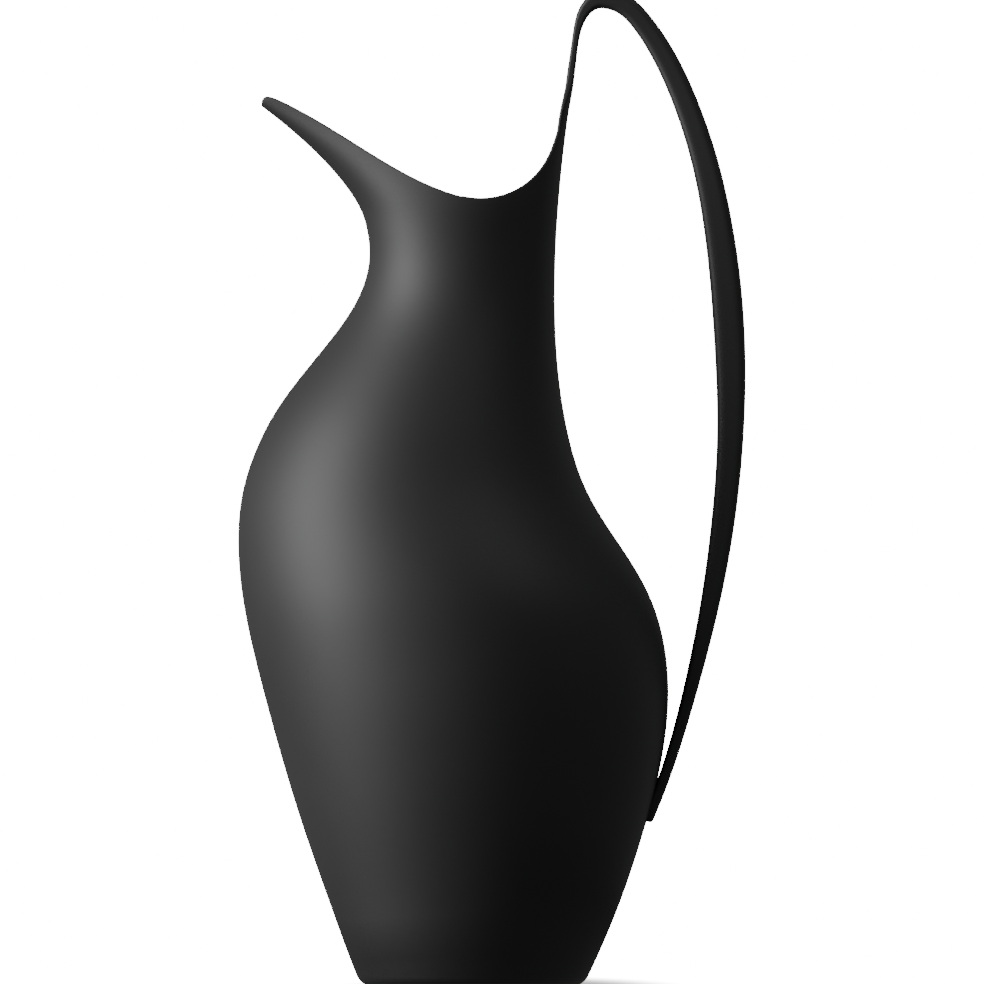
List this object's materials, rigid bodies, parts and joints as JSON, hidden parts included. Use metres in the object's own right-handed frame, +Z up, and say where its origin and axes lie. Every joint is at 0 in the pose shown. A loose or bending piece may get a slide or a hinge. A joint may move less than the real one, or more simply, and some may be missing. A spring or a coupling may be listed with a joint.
{
  "type": "spouted jug",
  "caption": "Tall asymmetric pouring jug in thin black-coated steel, with a long pulled spout, an open mouth and a high looped handle.",
  "frame": {"origin": "centre of the ring that the jug stands on, in the table's plane", "axes": "+Z up, -X towards the spout, +X towards the handle, +Y to the jug's right when it faces the spout's way"},
  "size_m": [0.1478, 0.1222, 0.29],
  "materials": {
    "black_coating": "satin"
  },
  "bodies": {
    "root": {"left_body_shell": "black_coating", "right_body_shell": "black_coating", "base_plate": "black_coating", "handle_stem": "black_coating", "handle_left_shell": "black_coating", "handle_right_shell": "black_coating", "handle_foot": "black_coating"}
  },
  "joints": []
}
